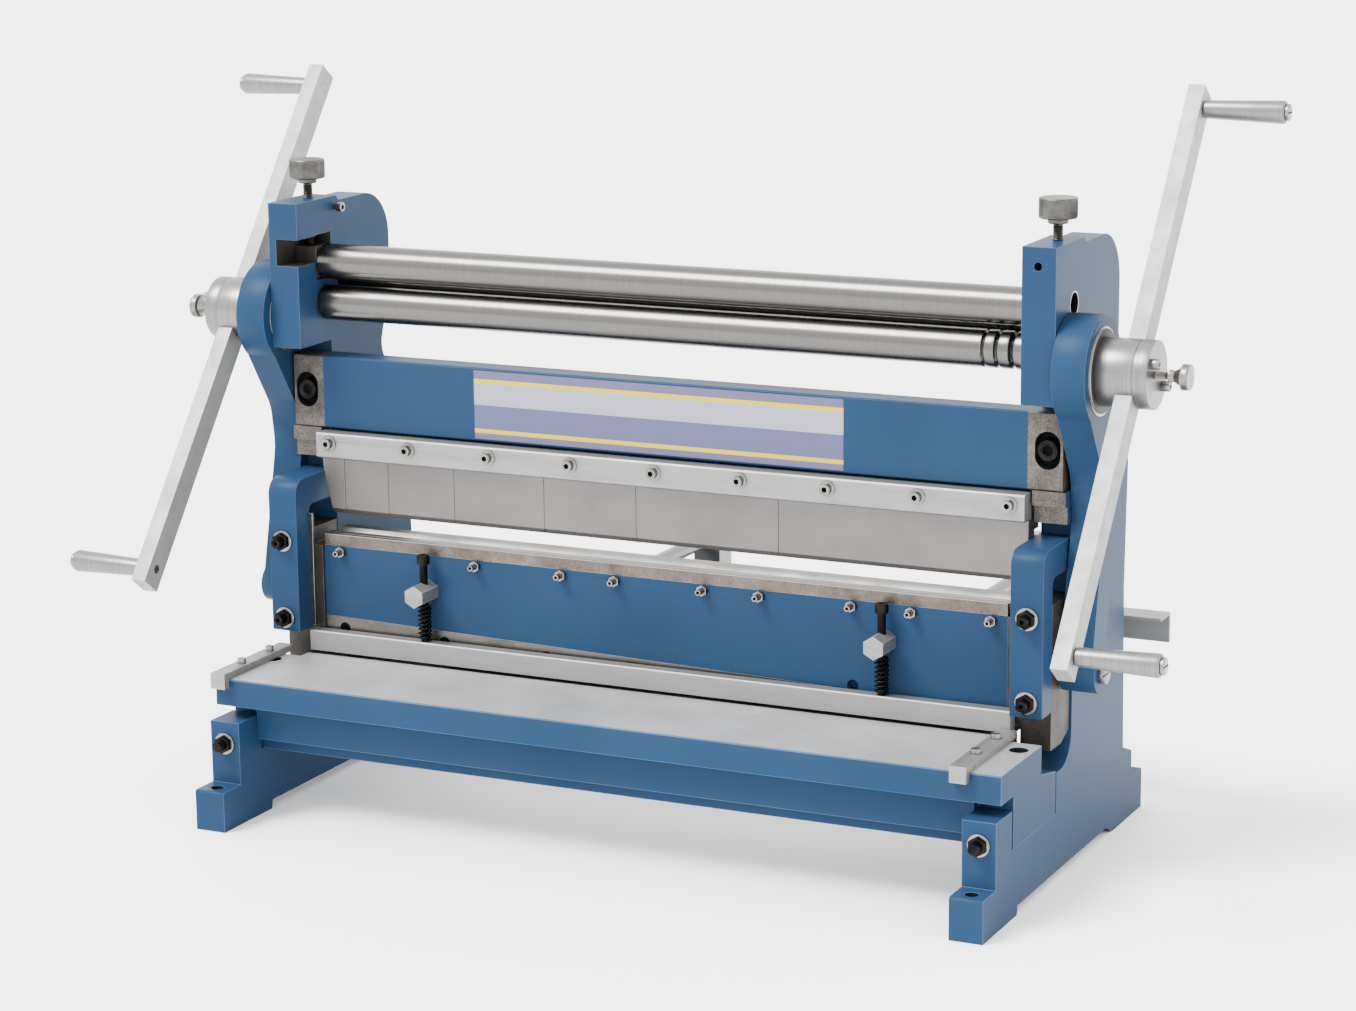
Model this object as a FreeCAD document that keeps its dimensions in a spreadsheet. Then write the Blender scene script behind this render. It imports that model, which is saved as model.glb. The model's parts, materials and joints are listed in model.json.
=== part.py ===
import FreeCAD, Part
import math
import os
import re
import Sketcher

# Combined press brake, shear and slip roll.  Millimetres.
# X runs along the beams, Y to the back, Z up.  Origin: centre of the four foot
# holes on the floor.

doc = FreeCAD.newDocument("press_brake")
sheet = doc.addObject("Spreadsheet::Sheet", "sizes")

plain = [
    ("work_width", 762, "bending and shearing width"),
    ("side_clear", 2, "gap from the work width to each side frame"),
    ("side_thick", 33, "side casting thickness"),
    ("foot_front", -222, "front end of the feet"),
    ("foot_rear", 226, "rear end of the feet"),
    ("foot_high", 41, "foot flange height"),
    ("foot_hole_y", 207, "foot hole from the centre, front and rear"),
    ("foot_hole_dia", 13, "foot hole diameter"),
    ("seat_high", 67, "floor of the table notch"),
    ("post_front", -190, "front of the table post"),
    ("table_high", 145, "table top above the floor"),
    ("table_lip", 28, "table front edge thickness"),
    ("table_front", -178, "front face of the table"),
    ("shear_y", -39, "plane of the shear blades"),
    ("blade_rise", 37, "left end of the raked edge above the table"),
    ("rake_drop", 19, "fall of the raked edge along the beam"),
    ("lower_beam_rise", 73, "raked edge to the top of the lower beam"),
    ("die_high", 12, "vee die above the lower beam"),
    ("bend_gap", 17, "die top to finger edge with the machine at rest"),
    ("finger_high", 59, "finger edge to clamp bar"),
    ("clamp_high", 26, "clamp bar height"),
    ("beam_high", 74, "upper beam height"),
    ("beam_deep", 26, "upper beam depth"),
    ("head_gap", 12, "upper beam to head"),
    ("head_high", 146, "head height"),
    ("head_front", -50, "front face of the head"),
    ("upright_front", 10, "front face of the uprights"),
    ("roll_rise", 41, "lower roll axis above the head underside"),
    ("roll_dia", 36, "roll diameter"),
    ("roll_gap", 5.5, "opening between the pinch rolls"),
    ("journal_dia", 24, "roll journal diameter"),
    ("throw_y", -12.5, "eccentric centre behind the roll axis"),
    ("throw_z", -11.5, "eccentric centre above the roll axis"),
    ("ecc_dia", 78.6, "eccentric diameter"),
    ("arm_thick", 32, "connecting arm thickness"),
    ("arm_eye_dia", 104, "large eye of the arm"),
    ("boss_dia", 39, "small boss of the arm"),
    ("pin_z", 203, "lower pin height"),
    ("hub_dia", 64, "crank hub diameter"),
    ("crank_long", 600, "crank bar length"),
    ("crank_wide", 26, "crank bar width"),
    ("crank_thick", 16, "crank bar thickness"),
    ("crank_tilt", 37.7, "crank bar lean to the back, degrees"),
    ("grip_long", 78, "grip length"),
    ("fit", 0.05, "running fit, radial"),
]
derived = [
    ("half_gap", "work_width / 2 + side_clear"),
    ("frame_out", "half_gap + side_thick"),
    ("frame_mid", "half_gap + side_thick / 2"),
    ("rake_z", "table_high + blade_rise"),
    ("low_top", "rake_z + lower_beam_rise"),
    ("die_top", "low_top + die_high"),
    ("tip_z", "die_top + bend_gap"),
    ("clamp_low", "tip_z + finger_high"),
    ("clamp_top", "clamp_low + clamp_high"),
    ("beam_low", "clamp_top + 3"),
    ("beam_top", "beam_low + beam_high"),
    ("head_low", "beam_top + head_gap"),
    ("head_top", "head_low + head_high"),
    ("roll_z", "head_low + roll_rise"),
    ("upper_z", "roll_z + roll_dia + roll_gap"),
    ("hub_z", "roll_z + throw_z"),
    ("arm_in", "frame_out + 1"),
    ("arm_out", "arm_in + arm_thick"),
    ("hub_in", "arm_out + 2"),
    ("bar_in", "hub_in + 19"),
    ("bar_out", "bar_in + crank_thick"),
    ("disc_out", "bar_out + 14"),
    ("low_half", "work_width / 2 - 11"),
]
for row, (alias, number, note) in enumerate(plain, start=1):
    sheet.set(f"A{row}", note)
    sheet.set(f"B{row}", str(number))
    sheet.setAlias(f"B{row}", alias)
for row, (alias, formula) in enumerate(derived, start=len(plain) + 1):
    sheet.set(f"A{row}", alias.replace("_", " "))
    sheet.set(f"B{row}", "=" + formula)
    sheet.setAlias(f"B{row}", alias)
doc.recompute()

aliases = [row[0] for row in plain + derived]
alias_words = re.compile(r"\b(" + "|".join(aliases) + r")\b")
nodes = []


def bound(text):
    """Expression text with every size name pointing at the sheet."""
    return alias_words.sub(r"sizes.\1", str(text))


def value(text):
    result = sheet.evalExpression(bound(text))
    return float(getattr(result, "Value", result))


def flipped(side, text):
    """The same X position on the right (1) or left (-1) side."""
    return f"({text})" if side > 0 else f"-({text})"


def body(label):
    item = doc.addObject("PartDesign::Body", label)
    item.Label = label
    nodes.append(item)
    return item


def origin_plane(item, role):
    return next(plane for plane in item.Origin.OriginFeatures if plane.Role == role)


def set_point(sketch, geometry, end, across, up):
    for kind, text in (("DistanceX", across), ("DistanceY", up)):
        index = sketch.addConstraint(
            Sketcher.Constraint(kind, -1, 1, geometry, end, value(text)))
        sketch.setExpression(f"Constraints[{index}]", bound(text))


def draw_loop(sketch, points):
    """Closed outline of straight lines, each corner placed by its expressions."""
    spots = [FreeCAD.Vector(value(a), value(b), 0) for a, b in points]
    lines = []
    for first, second in zip(spots, spots[1:] + spots[:1]):
        lines.append(sketch.addGeometry(Part.LineSegment(first, second), False))
    for first, second in zip(lines, lines[1:] + lines[:1]):
        sketch.addConstraint(Sketcher.Constraint("Coincident", first, 2, second, 1))
    for line, (across, up) in zip(lines, points):
        set_point(sketch, line, 1, across, up)


def draw_circle(sketch, across, up, radius):
    spot = FreeCAD.Vector(value(across), value(up), 0)
    ring = sketch.addGeometry(
        Part.Circle(spot, FreeCAD.Vector(0, 0, 1), value(radius)), False)
    set_point(sketch, ring, 3, across, up)
    index = sketch.addConstraint(Sketcher.Constraint("Radius", ring, value(radius)))
    sketch.setExpression(f"Constraints[{index}]", bound(radius))


def sketched(item, plane, start, shapes):
    """Sketch at `start` along the plane's axis, X for YZ, Y for XZ, Z for XY."""
    sketch = item.newObject("Sketcher::SketchObject", f"{item.Name}_sketch")
    sketch.AttachmentSupport = [(origin_plane(item, plane + "_Plane"), "")]
    sketch.MapMode = "FlatFace"
    offset = f"-({start})" if plane == "XZ" else str(start)
    sketch.setExpression("AttachmentOffset.Base.z", bound(offset))
    for shape in shapes:
        if len(shape) == 3 and not isinstance(shape[0], tuple):
            draw_circle(sketch, *shape)
        else:
            draw_loop(sketch, shape)
    return sketch


def pad(item, plane, start, length, *shapes):
    """Solid from `start`, `length` along the positive axis."""
    feature = item.newObject("PartDesign::Pad", f"{item.Name}_pad")
    feature.Profile = sketched(item, plane, start, shapes)
    feature.setExpression("Length", bound(length))
    feature.Reversed = plane == "XZ"
    doc.recompute()
    return feature


def cut(item, plane, start, length, *shapes):
    """Material taken away from `start`, `length` along the positive axis."""
    before = item.Shape.Volume
    feature = item.newObject("PartDesign::Pocket", f"{item.Name}_pocket")
    feature.Profile = sketched(item, plane, start, shapes)
    feature.setExpression("Length", bound(length))
    feature.Reversed = plane != "XZ"
    doc.recompute()
    if item.Shape.Volume > before - 1e-3:
        raise ValueError(f"{item.Label}: a pocket removed nothing")
    return feature


def edges_along(item, axis, spots):
    """Names of straight edges along an axis through the given cross positions."""
    others = [number for number in range(3) if number != axis]
    names = []
    for number, edge in enumerate(item.Shape.Edges, start=1):
        direction = edge.Vertexes[-1].Point - edge.Vertexes[0].Point
        if direction.Length < 1e-6 or abs(direction[axis]) < 0.999 * direction.Length:
            continue
        middle = edge.CenterOfMass
        for first, second in spots:
            gap = math.hypot(middle[others[0]] - value(first),
                             middle[others[1]] - value(second))
            if gap < 0.05:
                names.append(f"Edge{number}")
    return names


def dress(item, kind, axis, size, spots):
    """Fillet or Chamfer on edges along X (0), Y (1) or Z (2)."""
    names = edges_along(item, axis, spots)
    if not names:
        raise ValueError(f"{item.Label}: no edge found for {kind}")
    base = item.Tip
    feature = item.newObject(f"PartDesign::{kind}", f"{item.Name}_{kind.lower()}")
    feature.Base = (base, names)
    feature.setExpression("Radius" if kind == "Fillet" else "Size", bound(size))
    doc.recompute()
    return feature


def box(x0, x1, y0, y1):
    return [(x0, y0), (x1, y0), (x1, y1), (x0, y1)]


def hexagon(across, up, flats):
    radius = f"({flats}) / 1.7320508"
    corners = []
    for step in range(6):
        angle = math.radians(60 * step + 30)
        corners.append((f"{across} + {radius} * {math.cos(angle):.6f}",
                        f"{up} + {radius} * {math.sin(angle):.6f}"))
    return corners


def slot(across, up, wide, tall):
    """Upright rounded slot as a loop of short sides."""
    corners = []
    for step in range(24):
        angle = math.radians(15 * step + 7.5)
        shift = "+" if math.sin(angle) > 0 else "-"
        corners.append((f"{across} + ({wide}) / 2 * {math.cos(angle):.6f}",
                        f"{up} {shift} (({tall}) - ({wide})) / 2"
                        f" + ({wide}) / 2 * {math.sin(angle):.6f}"))
    return corners


# Side frames.
frame_profile = [
    ("foot_front", "0"), ("foot_front", "foot_high"), ("post_front", "foot_high"),
    ("post_front", "seat_high + 37"), ("post_front + 41", "seat_high + 37"),
    ("post_front + 41", "seat_high"), ("shear_y + 9", "seat_high"),
    ("shear_y + 9", "seat_high + 40"), ("upright_front", "seat_high + 40"),
    ("upright_front", "beam_low - 32"), ("upright_front - 20", "beam_low - 32"),
    ("upright_front - 20", "beam_low - 15"), ("upright_front - beam_deep", "beam_low - 15"),
    ("upright_front - beam_deep", "beam_low - 0.5"), ("upright_front", "beam_low - 0.5"),
    ("upright_front", "head_low"), ("head_front", "head_low"),
    ("head_front", "head_top"), ("head_front + 77", "head_top"),
    ("head_front + 81", "head_top - 5"), ("head_front + 180", "head_top - 5"),
    ("head_front + 180", "head_low + 42"), ("upright_front + 96", "head_low - 26"),
    ("upright_front + 156", "beam_low"), ("upright_front + 150", "tip_z - 40"),
    ("upright_front + 156", "foot_high + 37"), ("upright_front + 183", "foot_high + 27"),
    ("upright_front + 183", "foot_high"), ("foot_rear", "foot_high"),
    ("foot_rear", "0"), ("foot_rear - 90", "0"), ("foot_rear - 107", "9"),
    ("foot_front + 90", "9"), ("foot_front + 88", "0"),
]
for name, side in (("left", -1), ("right", 1)):
    frame = body(f"{name}_side_frame")
    inner = "half_gap" if side > 0 else "-frame_out"
    pad(frame, "YZ", inner, "side_thick", frame_profile)
    dress(frame, "Fillet", 0, 48, [("head_front + 180", "head_top - 5")])
    dress(frame, "Fillet", 0, 40, [("head_front + 180", "head_low + 42")])
    dress(frame, "Fillet", 0, 26, [("upright_front + 96", "head_low - 26")])
    dress(frame, "Fillet", 0, 20, [("upright_front + 156", "beam_low")])
    dress(frame, "Fillet", 0, 30, [("upright_front", "seat_high + 40")])
    dress(frame, "Fillet", 0, 3, [("foot_front", "foot_high"), ("foot_rear", "foot_high")])
    middle = flipped(side, "frame_mid")
    cut(frame, "XY", "-1", "foot_high + 2",
        (middle, "-foot_hole_y", "foot_hole_dia / 2"),
        (middle, "foot_hole_y", "foot_hole_dia / 2"))
    # Bearing hole of the lower roll and the upright window of the upper roll.
    cut(frame, "YZ", inner, "side_thick", ("0", "roll_z", "journal_dia / 2 + 3 + fit"))
    window = flipped(side, "half_gap") if side > 0 else "-half_gap - 25"
    cut(frame, "YZ", window, "25", box("-14", "14", "upper_z - 18", "upper_z + 28"))
    # Guide window of the rear roll.
    cut(frame, "YZ", window, "25", box("26", "80", "roll_z + 4", "roll_z + 32"))
    # Screw holes: down from the top face and in from the rear face.
    cut(frame, "XY", "upper_z + 27", "head_top - upper_z - 26",
        (middle, "0", "5.05"))
    cut(frame, "XZ", "79", "head_front + 104", (middle, "roll_z + 18", "5.05"))
    if side < 0:
        # The upper roll swings out to the front through this notch.
        cut(frame, "XZ", "head_front - 1", "-head_front",
            box("-half_gap - 25", "-half_gap + 1", "upper_z + 0.5", "upper_z + 27"))
    else:
        cut(frame, "YZ", "half_gap + 24", "side_thick - 23", ("0", "upper_z + 5", "11"))
        cut(frame, "XZ", "head_front - 1", "13", ("frame_mid - 1", "head_top - 18", "4"))
    # Screw holes: ear bolts, guide set screws, table post.
    cut(frame, "XZ", "upright_front - 1", "30", (flipped(side, "frame_mid - 1.5"), "beam_low + 38", "6"))
    cut(frame, "XZ", "post_front - 1", "43", (middle, "seat_high + 15", "5.05"))

# Table with the lower blade.
table = body("shear_table")
pad(table, "YZ", "-half_gap + 1", "2 * half_gap - 2", [
    ("table_front", "table_high - table_lip"), ("table_front", "table_high"),
    ("shear_y - 18.5", "table_high"), ("shear_y - 18.5", "table_high - 18"),
    ("shear_y - 1", "table_high - 18"), ("shear_y - 1", "table_high - 50"),
    ("shear_y - 22", "seat_high + 13"), ("table_front + 20", "seat_high + 13"),
    ("table_front + 20", "table_high - table_lip")])
pad(table, "YZ", "-frame_out", "2 * frame_out", [
    ("table_front", "table_high - table_lip"), ("table_front", "table_high"),
    ("shear_y - 33", "table_high"), ("shear_y - 33", "table_high - table_lip"),
    ("shear_y + 7", "table_high - table_lip - 8"), ("shear_y + 7", "seat_high"),
    ("post_front + 45", "seat_high"), ("post_front + 45", "table_high - table_lip")])
cut(table, "XY", "seat_high - 1", "table_high - table_lip - seat_high + 1",
    box("-half_gap + 24", "half_gap - 24", "table_front + 38", "shear_y - 38"))
cut(table, "YZ", "-half_gap", "2 * half_gap", [
    ("shear_y - 1", "table_high - 51"), ("shear_y + 20", "table_high - 51"),
    ("shear_y + 20", "seat_high - 1"), ("shear_y - 22", "seat_high - 1"),
    ("shear_y - 22", "seat_high + 13")])
dress(table, "Chamfer", 0, 1, [("table_front", "table_high")])
for side in (-1, 1):
    cut(table, "XY", "table_high - 9", "10",
        (flipped(side, "frame_mid + 2"), "shear_y - 55", "9"))

lower_blade = body("lower_shear_blade")
pad(lower_blade, "XZ", "shear_y - 18.5", "18.2",
    box("-half_gap + 3", "half_gap - 3", "table_high - 18", "table_high"))
cut(lower_blade, "XZ", "shear_y - 19", "20",
    *[(f"-half_gap + 45 + {step} * (2 * half_gap - 90) / 7", "table_high - 9", "3.5")
      for step in range(8)])

table_bolts = body("table_bolts")
for side in (-1, 1):
    spot = flipped(side, "frame_mid + 2")
    pad(table_bolts, "XY", "table_high - 9", "7", (spot, "shear_y - 55", "7"))
cut(table_bolts, "XY", "table_high - 5.5", "5",
    *[hexagon(flipped(side, "frame_mid + 2"), "shear_y - 55", "6") for side in (-1, 1)])

gauges = body("side_gauges")
for left in ("-frame_out", "half_gap - 14"):
    pad(gauges, "YZ", left, "16.5", [
        ("table_front - 9", "table_high - 9"), ("table_front - 9", "table_high + 7"),
        ("shear_y - 19", "table_high + 7"), ("shear_y - 19", "table_high"),
        ("table_front - 0.3", "table_high"), ("table_front - 0.3", "table_high - 9")])
    cut(gauges, "XY", "table_high + 3", "5",
        (f"{left} + 8.25", "table_front + 36", "4.6"),
        (f"{left} + 8.25", "table_front + 88", "4.6"))
gauge_screws = body("side_gauge_screws")
for left in ("-frame_out", "half_gap - 14"):
    for along in (36, 88):
        spot = (f"{left} + 8.25", f"table_front + {along}")
        pad(gauge_screws, "XY", "table_high + 3", "9", (*spot, "4.4"))
        cut(gauge_screws, "XY", "table_high + 9.5", "3", hexagon(*spot, "3"))

# Table adjusting screws in the front posts.
adjusters = body("table_adjusting_screws")
pad(adjusters, "XZ", "post_front - 16", "60",
    *[(flipped(side, "frame_mid"), "seat_high + 15", "5") for side in (-1, 1)])

# Upper beam on its slotted ears.
upper_beam = body("upper_beam")
pad(upper_beam, "XZ", "upright_front - beam_deep", "beam_deep",
    box("-frame_out + 3", "frame_out - 3", "beam_low", "beam_top"))
pad(upper_beam, "XZ", "upright_front - 11", "10.5",
    box("-work_width / 2", "work_width / 2", "clamp_low - 12", "beam_low"))
cut(upper_beam, "XZ", "upright_front - beam_deep - 1", "beam_deep + 2",
    *[slot(flipped(side, "frame_mid - 1.5"), "beam_low + 38", "13", "24") for side in (-1, 1)])
cut(upper_beam, "XZ", "upright_front - beam_deep - 1", "11",
    *[slot(flipped(side, "frame_mid - 1.5"), "beam_low + 38", "25", "36") for side in (-1, 1)])
cut(upper_beam, "XZ", "upright_front - 12", "13",
    *[(f"{step} * 91.5 / 762 * work_width", "clamp_low + 16", "3.3") for step in range(-4, 5)])
dress(upper_beam, "Chamfer", 0, 1.2, [("upright_front - beam_deep", "beam_top"),
                                      ("upright_front - beam_deep", "beam_low")])

ear_bolts = body("upper_beam_bolts")
ear_spots = [(flipped(side, "frame_mid - 1.5"), "beam_low + 38") for side in (-1, 1)]
pad(ear_bolts, "XZ", "upright_front - beam_deep + 2", "beam_deep + 23",
    *[(*spot, "5.9") for spot in ear_spots])
pad(ear_bolts, "XZ", "upright_front - beam_deep", "10", *[(*spot, "9.8") for spot in ear_spots])
cut(ear_bolts, "XZ", "upright_front - beam_deep - 1", "6",
    *[hexagon(*spot, "10") for spot in ear_spots])

# Bending fingers, clamp bar and its screws.
finger_section = [
    ("upright_front - 20.8", "clamp_low + 10"), ("upright_front - 11.2", "clamp_low + 10"),
    ("upright_front - 11.2", "clamp_low - 16"), ("upright_front - 23", "tip_z"),
    ("upright_front - 24.5", "tip_z"), ("upright_front - 28", "tip_z + 5"),
    ("upright_front - 28", "clamp_low - 0.5"), ("upright_front - 20.8", "clamp_low - 0.5")]
# Widths in thirtieths of the work width; the two middle ones are alike.
finger_sets = [("bend_finger_25", [(0, 1)]), ("bend_finger_50", [(1, 2)]),
               ("bend_finger_75", [(3, 3)]), ("bend_fingers_100", [(6, 4), (10, 4)]),
               ("bend_finger_150", [(14, 6)]), ("bend_finger_250", [(20, 10)])]
for label, places in finger_sets:
    finger = body(label)
    for first, share in places:
        pad(finger, "YZ", f"work_width * ({first} / 30 - 0.5) + 0.15",
            f"work_width * {share} / 30 - 0.3", finger_section)
    if label == "bend_finger_25":
        cut(finger, "XZ", "upright_front - 90", "180", [
            ("-work_width / 2 - 1", "tip_z - 1"), ("-work_width / 2 + 11", "tip_z - 1"),
            ("-work_width / 2 - 1", "tip_z + 53")])

clamp_bar = body("finger_clamp_bar")
clamp_spots = [(f"{step} * 91.5 / 762 * work_width", "clamp_low + 16") for step in range(-4, 5)]
pad(clamp_bar, "XZ", "upright_front - 40", "19",
    box("-work_width / 2", "work_width / 2", "clamp_low", "clamp_top"))
cut(clamp_bar, "XZ", "upright_front - 41", "21", *[(*spot, "3.3") for spot in clamp_spots])
dress(clamp_bar, "Chamfer", 0, 1.5, [("upright_front - 40", "clamp_top"),
                                     ("upright_front - 40", "clamp_low")])
clamp_screws = body("clamp_bar_screws")
pad(clamp_screws, "XZ", "upright_front - 41.5", "40", *[(*spot, "3") for spot in clamp_spots])
pad(clamp_screws, "XZ", "upright_front - 41.5", "1.5", *[(*spot, "8") for spot in clamp_spots])
pad(clamp_screws, "XZ", "upright_front - 47.5", "6", *[(*spot, "5.5") for spot in clamp_spots])
cut(clamp_screws, "XZ", "upright_front - 48", "4", *[hexagon(*spot, "5") for spot in clamp_spots])

# Front guides, gib plates and their set screws.
guide_screw_spots = []
guides = body("front_guides")
for side in (-1, 1):
    near = "half_gap" if side > 0 else "-frame_out + 1"
    pad(guides, "YZ", near, "side_thick - 1", [
        ("upright_front - 80", "table_high + 24"), ("upright_front - 55", "table_high + 24"),
        ("upright_front - 55", "low_top + 42"), ("upright_front", "low_top + 42"),
        ("upright_front", "low_top + 71"), ("upright_front - 80", "low_top + 71")])
    guide_screw_spots += [(flipped(side, "frame_mid"), "table_high + 38"),
                          (flipped(side, "frame_mid"), "table_high + 118")]
cut(guides, "XZ", "upright_front - 81", "27", *[(*spot, "5.05") for spot in guide_screw_spots])
dress(guides, "Fillet", 0, 16, [("upright_front - 80", "low_top + 71")])
dress(guides, "Fillet", 0, 8, [("upright_front - 55", "low_top + 42")])
gibs = body("gib_plates")
for side in (-1, 1):
    near = "half_gap - 3.5" if side > 0 else "-frame_out + 3"
    pad(gibs, "XZ", "upright_front - 55", "2.6",
        box(near, f"{near} + side_thick + 0.5", "table_high + 26", "low_top + 33"))
guide_screws = body("guide_set_screws")
pad(guide_screws, "XZ", "upright_front - 95", "40", *[(*spot, "5") for spot in guide_screw_spots])
cut(guide_screws, "XZ", "upright_front - 96", "5", *[hexagon(*spot, "4") for spot in guide_screw_spots])
lock_nuts = body("lock_nuts")
nut_rows = [("post_front", [(flipped(side, "frame_mid"), "seat_high + 15") for side in (-1, 1)]),
            ("upright_front - 80", guide_screw_spots)]
for face, spots in nut_rows:
    pad(lock_nuts, "XZ", f"{face} - 2", "2", *[(*spot, "10.8") for spot in spots])
    pad(lock_nuts, "XZ", f"{face} - 7.5", "5.5", *[hexagon(*spot, "16") for spot in spots])
    cut(lock_nuts, "XZ", f"{face} - 8", "8", *[(*spot, "5.05") for spot in spots])

# Lower beam, its slides, die, blade and hold-down.
lower_beam = body("lower_beam")
pad(lower_beam, "XZ", "shear_y", "47", [
    ("-low_half", "rake_z"), ("low_half", "rake_z - rake_drop"),
    ("low_half", "low_top"), ("-low_half", "low_top")])
pad(lower_beam, "XZ", "shear_y + 12.5", "34.5", [
    ("-low_half", "rake_z - 26"), ("low_half", "rake_z - rake_drop - 26"),
    ("low_half", "low_top - 40"), ("-low_half", "low_top - 40")])
die_spots = [(f"{share} * low_half", "low_top - 5.5")
             for share in (-0.945, -0.524, -0.264, -0.104, 0.153, 0.315, 0.574, 0.739, 0.955)]
cut(lower_beam, "XZ", "shear_y - 1", "5", *[(*spot, "3.05") for spot in die_spots])
cut(lower_beam, "XZ", "shear_y - 1", "9", ("0.28 * work_width", "low_top - 84", "6"))
hold_posts = [(flipped(side, "0.325 * work_width"), "low_top - 36") for side in (-1, 1)]

slides = body("beam_slides")
for side in (-1, 1):
    near = "low_half" if side > 0 else "-half_gap - 1"
    pad(slides, "XZ", "upright_front - 52", "51.5",
        box(near, f"{near} + half_gap + 1 - low_half", "table_high + 7.5", "low_top"))
    near = "half_gap + 0.5" if side > 0 else "-frame_out + 2"
    pad(slides, "YZ", near, "side_thick - 2.5", [
        ("upright_front - 52", "table_high - 14"), ("upright_front - 24", "table_high - 14"),
        ("upright_front - 0.5", "table_high - 5"), ("upright_front - 0.5", "low_top + 16"),
        ("upright_front - 52", "low_top + 16")])
    stub = "frame_out - 2" if side > 0 else "-arm_out + 8"
    pad(slides, "YZ", stub, "arm_out - frame_out - 6", ("throw_y", "pin_z", "7"))

die = body("vee_die")
vee = "upright_front - 23.75"
pad(die, "YZ", "-low_half + 1", "2 * low_half - 2", [
    ("shear_y + 7", "low_top"), ("shear_y + 46", "low_top"), ("shear_y + 46", "die_top"),
    (f"{vee} + 9", "die_top"), (f"{vee} + 1", "die_top - 9.5"),
    (f"{vee} - 1", "die_top - 9.5"), (f"{vee} - 9", "die_top"), ("shear_y + 7", "die_top")])
die_plates = body("die_side_plates")
pad(die_plates, "XZ", "shear_y", "6.8",
    box("-low_half + 1", "low_half - 1", "low_top", "die_top"))

die_screws = body("die_set_screws")
pad(die_screws, "XZ", "shear_y - 13", "16.8", *[(*spot, "3") for spot in die_spots])
cut(die_screws, "XZ", "shear_y - 14", "4", *[hexagon(*spot, "3") for spot in die_spots])
die_nuts = body("die_lock_nuts")
pad(die_nuts, "XZ", "shear_y - 5", "5", *[hexagon(*spot, "10") for spot in die_spots])
cut(die_nuts, "XZ", "shear_y - 6", "7", *[(*spot, "3.05") for spot in die_spots])

upper_blade = body("upper_shear_blade")
pad(upper_blade, "XZ", "shear_y", "12.4", [
    ("-low_half", "rake_z - 33"), ("low_half", "rake_z - rake_drop - 33"),
    ("low_half", "rake_z - rake_drop - 0.1"), ("-low_half", "rake_z - 0.1")])
blade_spots = []
for step in range(7):
    share = -0.94 + 1.88 * step / 6
    blade_spots.append((f"{share:.4f} * low_half",
                        f"rake_z - 12 - rake_drop * {(share + 1) / 2:.4f}"))
cut(upper_blade, "XZ", "shear_y - 1", "8.6", *[(*spot, "6.1") for spot in blade_spots])
blade_screws = body("blade_screws")
pad(blade_screws, "XZ", "shear_y + 1", "6.6", *[(*spot, "6") for spot in blade_spots])
cut(blade_screws, "XZ", "shear_y", "4.5", *[hexagon(*spot, "5") for spot in blade_spots])

posts = body("hold_down_posts")
pad(posts, "XZ", "shear_y - 33", "33", *[hexagon(*spot, "20") for spot in hold_posts])
cut(posts, "XY", "low_top - 50", "30",
    *[(spot[0], "shear_y - 11.5", "4.3") for spot in hold_posts])
hold_bar = body("hold_down_bar")
pad(hold_bar, "XZ", "shear_y - 18", "13.5",
    box("-half_gap + 4", "half_gap - 4", "table_high + 3", "table_high + 24"))
dress(hold_bar, "Chamfer", 0, 1, [("shear_y - 18", "table_high + 24")])
hold_screws = body("hold_down_screws")
screw_spots = [(spot[0], "shear_y - 11.5") for spot in hold_posts]
pad(hold_screws, "XY", "table_high + 24", "low_top - 6 - table_high - 24",
    *[(*spot, "4") for spot in screw_spots])
pad(hold_screws, "XY", "low_top - 6", "9", *[(*spot, "6.5") for spot in screw_spots])
cut(hold_screws, "XY", "low_top - 1.5", "6", *[hexagon(*spot, "6") for spot in screw_spots])

springs = doc.addObject("Part::Compound", "hold_down_springs")
springs.Label = "hold_down_springs"
coils = []
for number, spot in enumerate(screw_spots, start=1):
    path = doc.addObject("Part::Helix", f"spring_path_{number}")
    path.setExpression("Pitch", bound("(low_top - 49 - table_high - 24) / 6.5"))
    path.setExpression("Height", bound("low_top - 49 - table_high - 24"))
    path.Radius = 6.3
    ring = doc.addObject("Part::Circle", f"spring_wire_{number}")
    ring.Radius = 0.75
    ring.Placement = FreeCAD.Placement(FreeCAD.Vector(6.3, 0, 0),
                                       FreeCAD.Rotation(FreeCAD.Vector(1, 0, 0), 90))
    coil = doc.addObject("Part::Sweep", f"spring_{number}")
    coil.Sections = [ring]
    coil.Spine = (path, ["Edge1"])
    coil.Solid = True
    coil.Frenet = True
    coil.setExpression("Placement.Base.x", bound(spot[0]))
    coil.setExpression("Placement.Base.y", bound(spot[1]))
    coil.setExpression("Placement.Base.z", bound("table_high + 25"))
    coils.append(coil)
springs.Links = coils
nodes.append(springs)

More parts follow.
